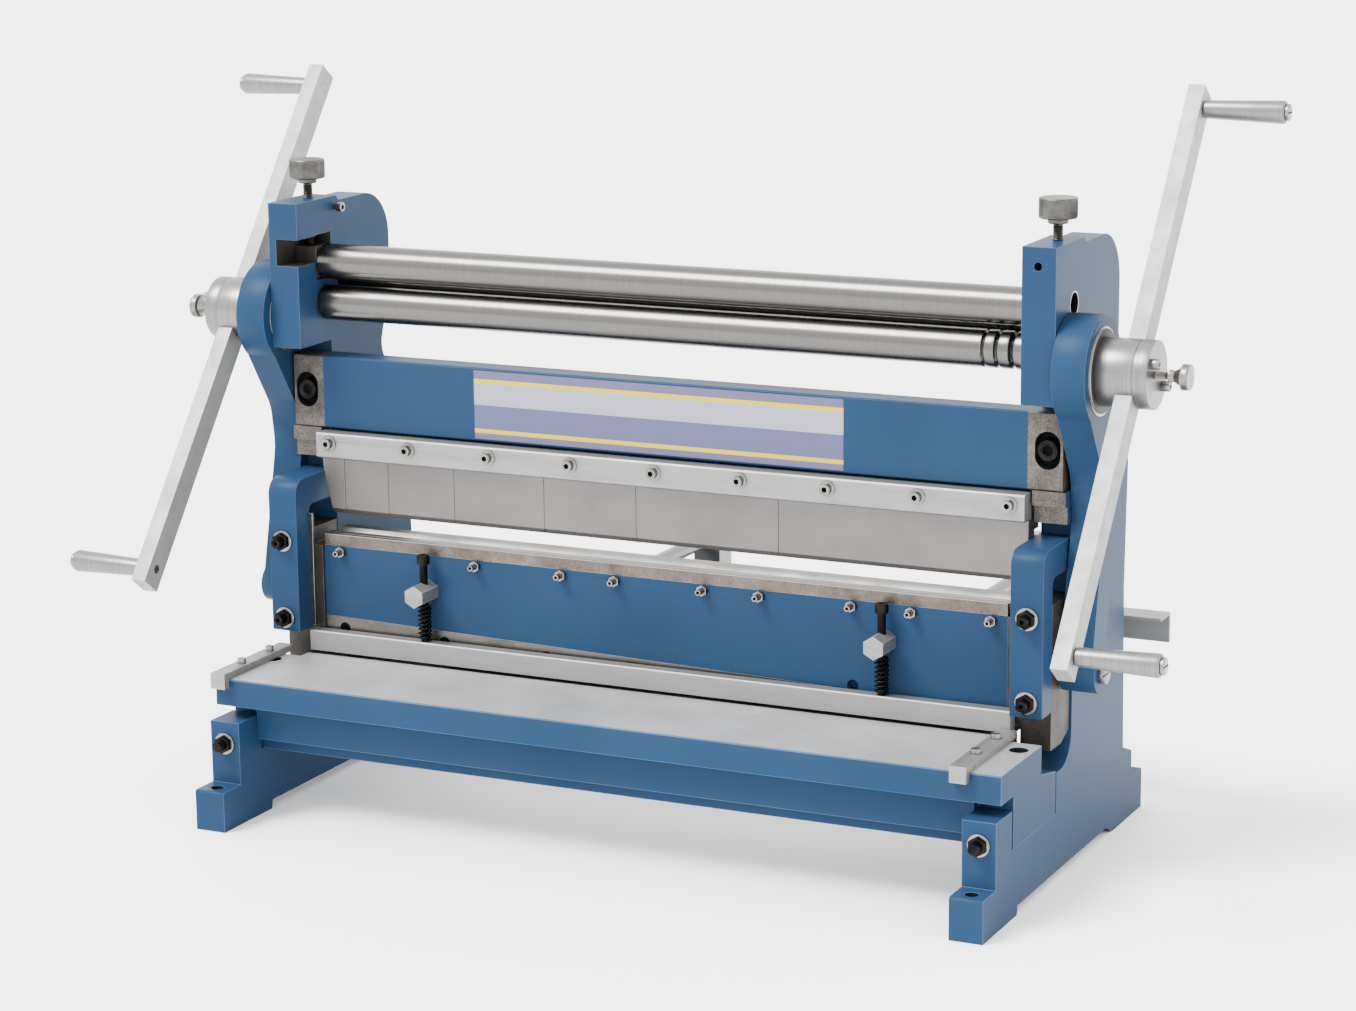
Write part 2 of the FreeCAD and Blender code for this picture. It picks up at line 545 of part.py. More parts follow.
# Rolls.
roll_list = [("upper_roll", "0", "upper_z", "frame_mid + 7"),
             ("lower_roll", "0", "roll_z", "bar_in - 1"),
             ("rear_roll", "44", "roll_z + 18", "frame_mid + 7")]
for label, across, up, far in roll_list:
    roll = body(label)
    pad(roll, "YZ", "-work_width / 2 + 0.5", "work_width - 1", (across, up, "roll_dia / 2"))
    pad(roll, "YZ", f"-({far})", f"2 * ({far})", (across, up, "journal_dia / 2"))
    if label != "upper_roll":
        for spot, wide in ((-48, 5), (-35, 6), (-20, 7)):
            groove = roll.newObject("PartDesign::Groove", f"{roll.Name}_groove_{abs(spot)}")
            sketch = sketched(roll, "XZ", across, [[
                (f"work_width / 2 + {spot} - {wide} / 2", f"{up} + roll_dia / 2 + 1"),
                (f"work_width / 2 + {spot} + {wide} / 2", f"{up} + roll_dia / 2 + 1"),
                (f"work_width / 2 + {spot}", f"{up} + roll_dia / 2 - {wide} / 2")]])
            axis = sketch.addGeometry(Part.LineSegment(
                FreeCAD.Vector(0, value(up), 0), FreeCAD.Vector(50, value(up), 0)), True)
            set_point(sketch, axis, 1, "0", up)
            set_point(sketch, axis, 2, "50", up)
            groove.Profile = sketch
            groove.ReferenceAxis = (sketch, ["Axis0"])
            groove.Angle = 360
            doc.recompute()

# Journal blocks, bushes, head screws.
for label, across, up, wide, tall in (
        ("upper_roll_blocks", "0", "upper_z", "13.7", "16"),
        ("rear_roll_blocks", "44", "roll_z + 18", "13.7", "13.7")):
    blocks = body(label)
    for side in (-1, 1):
        near = "half_gap + 0.5" if side > 0 else "-half_gap - 24.5"
        pad(blocks, "YZ", near, "24",
            box(f"{across} - {wide}", f"{across} + {wide}", f"{up} - {tall}", f"{up} + {tall}"))
        cut(blocks, "YZ", f"{near} - 1", "26", (across, up, "journal_dia / 2 + fit"))
bushes = body("roll_bushes")
for side in (-1, 1):
    near = "half_gap" if side > 0 else "-frame_out"
    pad(bushes, "YZ", near, "side_thick", ("0", "roll_z", "journal_dia / 2 + 3"))
    cut(bushes, "YZ", f"{near} - 1", "side_thick + 2", ("0", "roll_z", "journal_dia / 2 + fit"))
for name, side in (("left", -1), ("right", 1)):
    knob = body(f"{name}_head_screw")
    middle = flipped(side, "frame_mid")
    pad(knob, "XY", "upper_z + 16.5", "head_top + 20 - upper_z - 16.5", (middle, "0", "5"))
    pad(knob, "XY", "head_top + 15", "5", (middle, "0", "9.5"))
    pad(knob, "XY", "head_top + 20", "19", (middle, "0", "18"))

rear_screws = body("rear_roll_screws")
rear_spots = [(flipped(side, "frame_mid"), "roll_z + 18") for side in (-1, 1)]
pad(rear_screws, "XZ", "57.7", "head_front + 120", *[(*spot, "5") for spot in rear_spots])
cut(rear_screws, "XZ", "head_front + 172.7", "6", *[hexagon(*spot, "5") for spot in rear_spots])

# Connecting arms on the eccentrics.
arm_shank = [
    ("throw_y + 30", "hub_z - 30"), ("throw_y + 44", "hub_z - 90"),
    ("throw_y + 46", "(hub_z + pin_z) / 2"), ("throw_y + 19", "pin_z + 8"),
    ("throw_y - 18.5", "pin_z + 8"), ("throw_y + 12", "(hub_z + pin_z) / 2"),
    ("throw_y + 6", "hub_z - 100"), ("throw_y - 46", "hub_z - 20")]
arms = body("connecting_arms")
for side in (-1, 1):
    pad(arms, "YZ", "arm_in" if side > 0 else "-arm_out", "arm_thick", arm_shank)
dress(arms, "Fillet", 0, 60, [("throw_y + 46", "(hub_z + pin_z) / 2")])
dress(arms, "Fillet", 0, 45, [("throw_y + 6", "hub_z - 100")])
dress(arms, "Fillet", 0, 60, [("throw_y + 12", "(hub_z + pin_z) / 2")])
for side in (-1, 1):
    near = "arm_in" if side > 0 else "-arm_out"
    pad(arms, "YZ", near, "arm_thick", ("throw_y", "hub_z", "arm_eye_dia / 2"))
    boss = near if side > 0 else "-arm_out - 3"
    pad(arms, "YZ", boss, "arm_thick + 3", ("throw_y", "pin_z", "boss_dia / 2"))
    cut(arms, "YZ", near, "arm_thick", ("throw_y", "hub_z", "ecc_dia / 2 + fit"))
    # Blind bore with room for the sway of the arm round the beam's pin.
    bore = "arm_in - 1" if side > 0 else "-arm_out + 7"
    cut(arms, "YZ", bore, "arm_thick - 6", ("throw_y", "pin_z", "14"))
caps = body("arm_pin_caps")
for side in (-1, 1):
    near = "arm_out + 3" if side > 0 else "-arm_out - 9"
    pad(caps, "YZ", near, "6", ("throw_y", "pin_z", "10"))
    groove = "arm_out + 7" if side > 0 else "-arm_out - 10"
    cut(caps, "YZ", groove, "3", box("throw_y - 11", "throw_y + 11", "pin_z - 1", "pin_z + 1"))

lean = math.radians(value("crank_tilt"))
along = (math.sin(lean), math.cos(lean))
across = (math.cos(lean), -math.sin(lean))


def tilted(u, v):
    """Point on the crank's plane, u along the bar and v across it."""
    return (f"throw_y + ({u}) * {along[0]:.6f} + ({v}) * {across[0]:.6f}",
            f"hub_z + ({u}) * {along[1]:.6f} + ({v}) * {across[1]:.6f}")


def tilted_box(u0, u1, v0, v1):
    return [tilted(u0, v0), tilted(u1, v0), tilted(u1, v1), tilted(u0, v1)]


eccentrics = body("eccentrics")
hubs = body("crank_hubs")
discs = body("hub_discs")
hub_screws = body("hub_screws")
thumbs = body("thumb_screws")
bars = body("crank_bars")
grip_bolts = body("grip_bolts")
for name, side in (("left", -1), ("right", 1)):
    near = "arm_in - 0.5" if side > 0 else "-hub_in"
    pad(eccentrics, "YZ", near, "hub_in - arm_in + 0.5", ("throw_y", "hub_z", "ecc_dia / 2"))
    cut(eccentrics, "YZ", f"{near} - 1", "hub_in - arm_in + 3",
        ("0", "roll_z", "journal_dia / 2 + fit"))

    near = "hub_in" if side > 0 else "-bar_out"
    bar_near = "bar_in" if side > 0 else "-bar_out"
    pad(hubs, "YZ", near, "bar_out - hub_in", ("throw_y", "hub_z", "hub_dia / 2"))
    cut(hubs, "YZ", bar_near, "crank_thick",
        tilted_box("-hub_dia", "hub_dia", "-crank_wide / 2 - 0.1", "crank_wide / 2 + 0.1"))
    hub_bore = "hub_in - 1" if side > 0 else "-bar_in"
    cut(hubs, "YZ", hub_bore, "bar_in - hub_in + 1", ("0", "roll_z", "journal_dia / 2 + fit"))

    near = "bar_out" if side > 0 else "-disc_out"
    pad(discs, "YZ", near, "14", ("throw_y", "hub_z", "hub_dia / 2"))
    cut(discs, "YZ", f"{near} - 1", "16", ("throw_y", "hub_z", "4.05"))

    head = "disc_out" if side > 0 else "-disc_out - 8"
    socket = "disc_out + 4" if side > 0 else "-disc_out - 9"
    for offset in ("-21", "21"):
        pad(hub_screws, "YZ", head, "8", (*tilted("0", offset), "5"))
        cut(hub_screws, "YZ", socket, "5", hexagon(*tilted("0", offset), "4"))

    for start, length, radius in (("bar_out", "36", "4"), ("disc_out + 12", "10", "6.5"),
                                  ("disc_out + 22", "14", "12")):
        near = start if side > 0 else f"-({start}) - {length}"
        pad(thumbs, "YZ", near, length, ("throw_y", "hub_z", radius))

    # The left bar sits a little lower in its hub than the right one.
    slip = "0" if side > 0 else "-14"
    pad(bars, "YZ", bar_near, "crank_thick",
        tilted_box(f"{slip} - crank_long / 2", f"{slip} + crank_long / 2",
                   "-crank_wide / 2", "crank_wide / 2"))
    ends = [("upper", f"{slip} + crank_long / 2 - 19"), ("lower", f"{slip} - crank_long / 2 + 19")]
    cut(bars, "YZ", bar_near, "crank_thick", *[(*tilted(u, "0"), "4.55") for label, u in ends])
    for label, u in ends:
        grip = body(f"{name}_{label}_grip")
        near = "bar_out + 1" if side > 0 else "-bar_out - 1 - grip_long"
        root = "8.6" if side > 0 else "11"
        barrel = pad(grip, "YZ", near, "grip_long", (*tilted(u, "0"), root))
        barrel.setExpression("TaperAngle", bound(f"{side} * atan(2.4 / grip_long)"))
        doc.recompute()
        cut(grip, "YZ", f"{near} - 1", "grip_long + 2", (*tilted(u, "0"), "4.55"))
        near = bar_near if side > 0 else "-bar_out - 1 - grip_long - 3"
        pad(grip_bolts, "YZ", near, "crank_thick + grip_long + 4", (*tilted(u, "0"), "4.5"))
        head = "bar_out + 1.3 + grip_long" if side > 0 else "-bar_out - 1.3 - grip_long - 3"
        pad(grip_bolts, "YZ", head, "3", (*tilted(u, "0"), "8"))

# Back gauge riding on two rods from the lower beam.
rod_spots = [(f"{share} * work_width", "low_top - 25") for share in (-0.09, 0.384)]
rods = body("gauge_rods")
pad(rods, "XZ", "shear_y + 47", "290", *[(*spot, "8") for spot in rod_spots])
gauge_blocks = body("gauge_blocks")
pad(gauge_blocks, "XZ", "235", "30",
    *[box(f"{spot[0]} - 15", f"{spot[0]} + 15", "low_top - 84", "low_top - 10") for spot in rod_spots])
cut(gauge_blocks, "XZ", "234", "32", *[(*spot, "8.05") for spot in rod_spots])
cut(gauge_blocks, "XY", "low_top - 14.5", "5", *[(spot[0], "250", "4.05") for spot in rod_spots])
gauge_bar = body("back_gauge_bar")
pad(gauge_bar, "YZ", "-frame_out - 24", "2 * frame_out + 48", [
    ("204", "low_top - 53"), ("235", "low_top - 53"), ("235", "low_top - 84"),
    ("232", "low_top - 84"), ("232", "low_top - 56"), ("204", "low_top - 56")])
gauge_locks = body("gauge_lock_screws")
pad(gauge_locks, "XY", "low_top - 14", "16", *[(spot[0], "250", "4") for spot in rod_spots])
pad(gauge_locks, "XY", "low_top + 2", "9", *[(spot[0], "250", "9") for spot in rod_spots])

doc.recompute()
for item in doc.Objects:
    if any(word in item.State for word in ("Invalid", "Error")):
        raise ValueError(f"{item.Label} failed: {item.State}")
os.makedirs("parts", exist_ok=True)
for item in nodes:
    if item.Shape.isNull() or not item.Shape.isValid():
        raise ValueError(f"{item.Label}: shape is not valid")
    item.Shape.exportStep(f"parts/{item.Label}.step")
print(len(nodes), "nodes written")
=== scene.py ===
import bpy
import bmesh
import json
import math
from mathutils import Matrix, Vector


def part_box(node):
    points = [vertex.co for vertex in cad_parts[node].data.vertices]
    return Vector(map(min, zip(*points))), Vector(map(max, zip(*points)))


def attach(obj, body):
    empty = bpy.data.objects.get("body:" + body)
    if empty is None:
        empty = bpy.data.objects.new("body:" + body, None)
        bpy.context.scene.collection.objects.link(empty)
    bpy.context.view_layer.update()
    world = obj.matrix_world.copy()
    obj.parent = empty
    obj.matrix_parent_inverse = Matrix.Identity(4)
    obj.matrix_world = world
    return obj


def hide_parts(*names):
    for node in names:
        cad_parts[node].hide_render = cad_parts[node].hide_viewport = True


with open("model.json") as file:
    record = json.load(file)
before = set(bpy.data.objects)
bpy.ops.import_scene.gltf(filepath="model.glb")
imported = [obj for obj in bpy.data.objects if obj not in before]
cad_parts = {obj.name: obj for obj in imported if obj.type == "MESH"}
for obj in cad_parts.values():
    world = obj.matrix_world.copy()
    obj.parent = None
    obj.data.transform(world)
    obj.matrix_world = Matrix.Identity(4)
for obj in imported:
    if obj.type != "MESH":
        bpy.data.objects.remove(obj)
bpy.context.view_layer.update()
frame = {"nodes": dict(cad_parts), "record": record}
nodes = frame["nodes"]
print("frame loaded:", len(nodes), "nodes")


def newMaterial(name):
    material = bpy.data.materials.new(name)
    material.use_nodes = True
    tree = material.node_tree
    return material, tree, tree.nodes["Principled BSDF"]


def objectNoise(tree, scale, detail=3.0, stretch=(1, 1, 1), rough=0.5):
    coords = tree.nodes.new("ShaderNodeTexCoord")
    mapping = tree.nodes.new("ShaderNodeMapping")
    mapping.inputs["Scale"].default_value = stretch
    noise = tree.nodes.new("ShaderNodeTexNoise")
    noise.inputs["Scale"].default_value = scale
    noise.inputs["Detail"].default_value = detail
    noise.inputs["Roughness"].default_value = rough
    tree.links.new(coords.outputs["Object"], mapping.inputs["Vector"])
    tree.links.new(mapping.outputs["Vector"], noise.inputs["Vector"])
    return noise.outputs["Fac"]


def ramp(tree, source, low, high, spread=(0.3, 0.7)):
    node = tree.nodes.new("ShaderNodeValToRGB")
    for element, place, shade in zip(node.color_ramp.elements, spread, (low, high)):
        element.position = place
        element.color = (*shade, 1) if isinstance(shade, tuple) else (shade, shade, shade, 1)
    tree.links.new(source, node.inputs["Fac"])
    return node.outputs["Color"]


def blend(tree, factor, first, second):
    node = tree.nodes.new("ShaderNodeMix")
    node.data_type = "RGBA"
    node.blend_type = "MULTIPLY"
    node.inputs["Factor"].default_value = factor
    tree.links.new(first, node.inputs["A"])
    tree.links.new(second, node.inputs["B"])
    return node.outputs["Result"]


def bump(tree, shader, source, strength, distance):
    node = tree.nodes.new("ShaderNodeBump")
    node.inputs["Strength"].default_value = strength
    node.inputs["Distance"].default_value = distance
    tree.links.new(source, node.inputs["Height"])
    tree.links.new(node.outputs["Normal"], shader.inputs["Normal"])


paintLook = {"patches": 7, "grain": 140, "raised": 0.12, "depth": 0.0008, "sheen": 0.05}
metalLook = {"specks": 520, "speckTone": 0.35, "speckSpread": (0.38, 0.62), "depth": 0.0004}
flatSheen = 0.15


def paint(name, dark, light, roughness=0.4):
    material, tree, shader = newMaterial(name)
    colour = ramp(tree, objectNoise(tree, paintLook["patches"], 4), dark, light)
    tree.links.new(colour, shader.inputs["Base Color"])
    shader.inputs["Roughness"].default_value = roughness
    shader.inputs["Specular IOR Level"].default_value = paintLook["sheen"]
    bump(tree, shader, objectNoise(tree, paintLook["grain"], 2), paintLook["raised"],
         paintLook["depth"])
    return material


def metal(name, dark, light, roughness, grain=(1, 1, 1), scale=20, speckle=0.0, metallic=1.0,
          bumpy=0.05, spread=0.1):
    material, tree, shader = newMaterial(name)
    shader.inputs["Metallic"].default_value = metallic
    marks = objectNoise(tree, scale, 5, grain, 0.6)
    colour = ramp(tree, marks, dark, light)
    if speckle:
        specks = ramp(tree, objectNoise(tree, metalLook["specks"], 3, rough=0.7),
                      metalLook["speckTone"], 1.0, metalLook["speckSpread"])
        colour = blend(tree, speckle, colour, specks)
    tree.links.new(colour, shader.inputs["Base Color"])
    tree.links.new(ramp(tree, marks, roughness + spread, roughness), shader.inputs["Roughness"])
    bump(tree, shader, marks, bumpy, metalLook["depth"])
    return material


def flat(name, colour, roughness=0.5):
    material, tree, shader = newMaterial(name)
    shader.inputs["Base Color"].default_value = (*colour, 1)
    shader.inputs["Roughness"].default_value = roughness
    shader.inputs["Specular IOR Level"].default_value = flatSheen
    return material


finishes = {
    "bluePaint": paint("bluePaint", (0.0085, 0.0255, 0.0560), (0.0105, 0.0300, 0.0650)),
    # Lighter edge paint: partly worn paint, partly a painted highlight on the rounded edges.
    "paintWearAndHighlight": paint("paintWearAndHighlight", (0.026, 0.060, 0.112), (0.046, 0.088, 0.145), 0.42),
    "bareIron": metal("bareIron", (0.036, 0.031, 0.027), (0.120, 0.106, 0.093), 0.5, (1, 1, 1), 30,
                      0.75, 0.7, 0.15),
    "darkIron": metal("darkIron", (0.012, 0.0095, 0.008), (0.038, 0.030, 0.025), 0.5, (1, 1, 1), 30,
                      0.6, 0.6, 0.15),
    # Pale steel for machined edges and rims: bright machined metal and a painted highlight.
    "machinedEdgeAndHighlight": metal("machinedEdgeAndHighlight", (0.25, 0.24, 0.225), (0.36, 0.35, 0.335), 0.35),
    "milledIron": metal("milledIron", (0.19, 0.192, 0.196), (0.33, 0.332, 0.337), 0.36,
                        (1, 1, 1), 7, 0.10, 0.35, 0.02),
    "rollSteel": metal("rollSteel", (0.088, 0.084, 0.079), (0.106, 0.102, 0.096), 0.24, (90, 1, 1),
                       6, 0.0, 1.0, 0.0, 0.02),
    "groundSteel": metal("groundSteel", (0.085, 0.078, 0.070), (0.165, 0.153, 0.142), 0.36,
                         (1, 3, 3), 14, 0.3),
    "dieSteel": metal("dieSteel", (0.070, 0.057, 0.047), (0.150, 0.130, 0.114), 0.38, (1, 1, 1), 30,
                      0.5),
    "fingerSteel": metal("fingerSteel", (0.134, 0.126, 0.122), (0.152, 0.144, 0.140), 0.5,
                         (1, 1, 1), 12, 0.05, 1.0, 0.0),
    "satinZinc": metal("satinZinc", (0.19, 0.193, 0.19), (0.235, 0.238, 0.235), 0.44, (1, 6, 6), 16,
                       0.1, 0.8),
    "satinBar": metal("satinBar", (0.19, 0.19, 0.187), (0.24, 0.24, 0.237), 0.46, (3, 3, 3), 14,
                      0.06, 0.45, 0.02),
    "turnedAluminium": metal("turnedAluminium", (0.125, 0.123, 0.120), (0.185, 0.183, 0.180), 0.30,
                             (80, 1, 1), 12, 0.1, 0.9),
    "knurledSteel": metal("knurledSteel", (0.038, 0.037, 0.034), (0.095, 0.092, 0.086), 0.38,
                          (1, 1, 1), 60),
    "platedScrew": metal("platedScrew", (0.13, 0.122, 0.112), (0.23, 0.222, 0.21), 0.26, (1, 1, 1),
                         90),
    "blackOxide": metal("blackOxide", (0.0045, 0.0042, 0.0040), (0.015, 0.0138, 0.013), 0.38,
                        (1, 1, 1), 110),
    "lavender": flat("lavender", (0.078, 0.072, 0.135), 0.5),
    "paleGrey": flat("paleGrey", (0.22, 0.22, 0.265), 0.5),
    "blueGrey": flat("blueGrey", (0.062, 0.066, 0.130), 0.5),
    "yellowLine": flat("yellowLine", (0.40, 0.30, 0.0), 0.5),
    # Near-black painted shade that fills holes, bores, recesses, sockets and slots.
    "paintedHoleShade": flat("paintedHoleShade", (0.0012, 0.0011, 0.0010), 0.9),
    "scaleInk": flat("scaleInk", (0.008, 0.008, 0.008), 0.7),
}
print("finishes made:", len(finishes))


def mergedCopy(node):
    mesh = bmesh.new()
    mesh.from_mesh(nodes[node].data)
    bmesh.ops.remove_doubles(mesh, verts=mesh.verts, dist=1e-6)
    return mesh


def bevelSharp(mesh, width, edgeSlot, segments=2, angle=math.radians(28),
               level=math.radians(0.4)):
    bmesh.ops.dissolve_limit(mesh, angle_limit=level, verts=mesh.verts, edges=mesh.edges,
                             use_dissolve_boundaries=False)
    edges = [edge for edge in mesh.edges
             if len(edge.link_faces) == 2 and edge.calc_face_angle() > angle]
    made = bmesh.ops.bevel(mesh, geom=edges, offset=width, offset_type="OFFSET",
                           segments=segments, profile=0.5, affect="EDGES", clamp_overlap=True,
                           material=-1)
    for face in made["faces"]:
        face.material_index = edgeSlot


# Edges stay smooth below the angle, but a wide flat face is kept apart from narrow neighbours.
wideFace = {"area": 2e-4, "share": 4}


def markSharp(mesh, limit):
    mesh.normal_update()
    for edge in mesh.edges:
        if len(edge.link_faces) != 2:
            continue
        small, big = sorted(face.calc_area() for face in edge.link_faces)
        even = big < wideFace["area"] or small > big / wideFace["share"]
        edge.smooth = edge.calc_face_angle(0) < limit and even


def finishPiece(mesh, name, body, slots, smoothAngle=32):
    markSharp(mesh, math.radians(smoothAngle))
    data = bpy.data.meshes.new(name)
    mesh.to_mesh(data)
    mesh.free()
    piece = bpy.data.objects.new(name, data)
    bpy.context.scene.collection.objects.link(piece)
    for each in slots:
        data.materials.append(finishes[each])
    for face in data.polygons:
        face.use_smooth = smoothAngle > 0
    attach(piece, body)
    return piece


def carry(piece, node):
    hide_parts(node)


def pieceName(node):
    words = node.split("_")
    return words[0] + "".join(word.title() for word in words[1:])


bodyOf = {node: body for body, members in frame["record"]["behaviour"]["bodies"].items()
          for node in members}

# Finish of the faces, finish of the rounded edges, edge rounding in metres
softened = {}
for members, face, edge, width in (
        # Painted castings take the lighter edge paint on their rounded edges: worn paint and a
        # painted highlight.
        ("left_side_frame right_side_frame connecting_arms front_guides",
         "bluePaint", "paintWearAndHighlight", 0.0010),
        ("shear_table upper_beam lower_beam", "bluePaint", "paintWearAndHighlight", 0.0007),
        ("upper_roll lower_roll rear_roll", "rollSteel", "rollSteel", 0.0006),
        ("eccentrics crank_hubs hub_discs arm_pin_caps gauge_rods",
         "turnedAluminium", "turnedAluminium", 0.0007),
        # Dark iron blocks take lighter bare iron on their rounded edges: bare edges and a painted
        # highlight.
        ("beam_slides upper_roll_blocks rear_roll_blocks roll_bushes", "darkIron", "bareIron",
         0.0005),
        # Ground and die steel take the pale edge steel on their rounded edges: bright machined
        # edges and a painted highlight.
        ("lower_shear_blade upper_shear_blade gib_plates vee_die", "groundSteel", "machinedEdgeAndHighlight",
         0.0004),
        ("die_side_plates", "dieSteel", "machinedEdgeAndHighlight", 0.0004),
        ("bend_finger_25 bend_finger_50 bend_finger_75 bend_fingers_100 bend_finger_150 "
         "bend_finger_250", "fingerSteel", "fingerSteel", 0.0004),
        ("finger_clamp_bar hold_down_bar side_gauges hold_down_posts back_gauge_bar gauge_blocks",
         "satinZinc", "satinBar", 0.0005),
        ("crank_bars", "satinBar", "satinBar", 0.0006),
        ("clamp_bar_screws die_set_screws die_lock_nuts side_gauge_screws hub_screws grip_bolts "
         "gauge_lock_screws", "platedScrew", "platedScrew", 0.0003),
        ("table_bolts table_adjusting_screws lock_nuts upper_beam_bolts guide_set_screws "
         "blade_screws hold_down_screws rear_roll_screws", "blackOxide", "blackOxide", 0.0003)):
    for node in members.split():
        softened[node] = (face, edge, width)


def recolour(mesh, slot, chosen):
    for face in mesh.faces:
        if chosen(face.calc_center_median(), face.normal):
            face.material_index = slot


def nearLine(spot, line, radius):
    gap = [spot[axis] - place for axis, place in enumerate(line) if place is not None]
    return math.hypot(*gap) < radius


def islands(mesh):
    left = set(mesh.verts)
    while left:
        found = {left.pop()}
        reached = list(found)
        while reached:
            for link in reached.pop().link_edges:
                for vert in link.verts:
                    if vert in left:
                        left.discard(vert)
                        found.add(vert)
                        reached.append(vert)
        yield found


# Screw sockets filled with painted shade: axis the screws stand on, half the socket across its
# corners
sockets = {"clamp_bar_screws": (1, 0.0030), "die_set_screws": (1, 0.0019),
           "guide_set_screws": (1, 0.0026), "upper_beam_bolts": (1, 0.0058),
           "table_adjusting_screws": (1, 0.0030), "hub_screws": (0, 0.0026),
           "side_gauge_screws": (2, 0.0019), "hold_down_screws": (2, 0.0036),
           "blade_screws": (1, 0.0036)}


def shadeSockets(mesh, axis, radius, slot, rim=0.0004):
    for verts in islands(mesh):
        low = [min(vert.co[n] for vert in verts) for n in range(3)]
        high = [max(vert.co[n] for vert in verts) for n in range(3)]
        line = [None if n == axis else (low[n] + high[n]) / 2 for n in range(3)]
        for face in {face for vert in verts for face in vert.link_faces}:
            spot = face.calc_center_median()
            if (low[axis] + rim < spot[axis] < high[axis] - rim
                    and all(nearLine(vert.co, line, radius) for vert in face.verts)):
                face.material_index = slot


# Regions with a finish of their own, sizes in metres, each test for the faces that take it. The
# recess, bores, holes and notch take painted shade.
ear = {"cut": 0.3785, "inner": 0.3786, "recessIn": 0.3848, "recessOut": 0.4112,
       "front": -0.0157, "back": 0.0095, "low": 0.3915, "high": 0.4285}
ledge = {"front": 0.0095, "low": 0.3385, "high": 0.373}
footBore = {"x": 0.3995, "y": 0.207, "radius": 0.0067, "low": 0.001, "high": 0.0405}
notch = {"outer": -0.4085, "inner": -0.3832, "front": -0.0495, "back": 0.02, "low": 0.5405,
         "high": 0.568}
headBore = {"start": 0.405, "end": 0.4155, "z": 0.5455, "radius": 0.0114}
blindHole = {"x": 0.3985, "z": 0.586, "radius": 0.0042, "front": -0.0495, "back": -0.03}
eccentricFace = 0.4480
tableTop = {"z": 0.1445, "boltX": 0.4015, "boltY": -0.094, "radius": 0.0092}
washer = {"guide": -0.0725, "post": -0.1925, "split": 0.14}


def onLedge(spot, normal):
    return spot.y < ledge["front"] and ledge["low"] < spot.z < ledge["high"]


def shadeInFootBore(spot, normal):
    return footBore["low"] < spot.z < footBore["high"] and any(
        nearLine(spot, (side * footBore["x"], end * footBore["y"], None), footBore["radius"])
        for side in (-1, 1) for end in (-1, 1))


def shadeInEarRecess(spot, normal):
    return (ear["recessIn"] < abs(spot.x) < ear["recessOut"]
            and ear["front"] < spot.y < ear["back"] and ear["low"] < spot.z < ear["high"])


def shadeInNotch(spot, normal):
    return (notch["outer"] < spot.x < notch["inner"] and notch["front"] < spot.y < notch["back"]
            and notch["low"] < spot.z < notch["high"])


def shadeInHeadBore(spot, normal):
    return (headBore["start"] < spot.x < headBore["end"]
            and nearLine(spot, (None, 0, headBore["z"]), headBore["radius"]))


def shadeInBlindHole(spot, normal):
    return (blindHole["front"] < spot.y < blindHole["back"]
            and nearLine(spot, (blindHole["x"], None, blindHole["z"]), blindHole["radius"]))


def shadeInTableBore(spot, normal):
    return abs(normal.z) < 0.5 and spot.z < tableTop["z"] and any(
        nearLine(spot, (side * tableTop["boltX"], tableTop["boltY"], None), tableTop["radius"])
        for side in (-1, 1))


def onWasher(spot, normal):
    return spot.y > (washer["guide"] if spot.z > washer["split"] else washer["post"])


regions = [
    ("upper_beam", "bareIron", lambda spot, normal: abs(spot.x) > ear["inner"]),
    # Painted shade: the recess in each ear is filled with near-black.
    ("upper_beam", "paintedHoleShade", shadeInEarRecess),
    ("left_side_frame", "bareIron", onLedge),
    # Painted shade in the foot bores.
    ("left_side_frame", "paintedHoleShade", shadeInFootBore),
    # Painted shade: the notch inside the left head takes dark iron.
    ("left_side_frame", "darkIron", shadeInNotch),
    ("right_side_frame", "bareIron", onLedge),
    # Painted shade in the right foot bores.
    ("right_side_frame", "paintedHoleShade", shadeInFootBore),
    # Painted shade in the head bore.
    ("right_side_frame", "paintedHoleShade", shadeInHeadBore),
    # Painted shade in the blind hole.
    ("right_side_frame", "paintedHoleShade", shadeInBlindHole),
    ("eccentrics", "darkIron",
     lambda spot, normal: abs(normal.x) > 0.9 and abs(spot.x) > eccentricFace),
    ("shear_table", "milledIron",
     lambda spot, normal: spot.z > tableTop["z"] and normal.z > 0.9),
    # Painted shade on the walls of the table bores.
    ("shear_table", "paintedHoleShade", shadeInTableBore),
    ("lock_nuts", "platedScrew", onWasher),
]

for node, (face, edge, width) in softened.items():
    mesh = mergedCopy(node)
    slots = [face, edge]
    bevelSharp(mesh, width, 1)
    if node == "upper_beam":
        for side in (-1, 1):
            bmesh.ops.bisect_plane(mesh, geom=mesh.verts[:] + mesh.edges[:] + mesh.faces[:],
                                   plane_co=(side * ear["cut"], 0, 0), plane_no=(1, 0, 0))
    for piece, finish, chosen in regions:
        if piece == node:
            slots.append(finish)
            recolour(mesh, len(slots) - 1, chosen)
    # Painted shade fills the screw sockets.
    if node in sockets:
        slots.append("paintedHoleShade")
        shadeSockets(mesh, *sockets[node], len(slots) - 1)
    carry(finishPiece(mesh, pieceName(node), bodyOf[node], slots), node)
print("pieces softened:", len(softened))


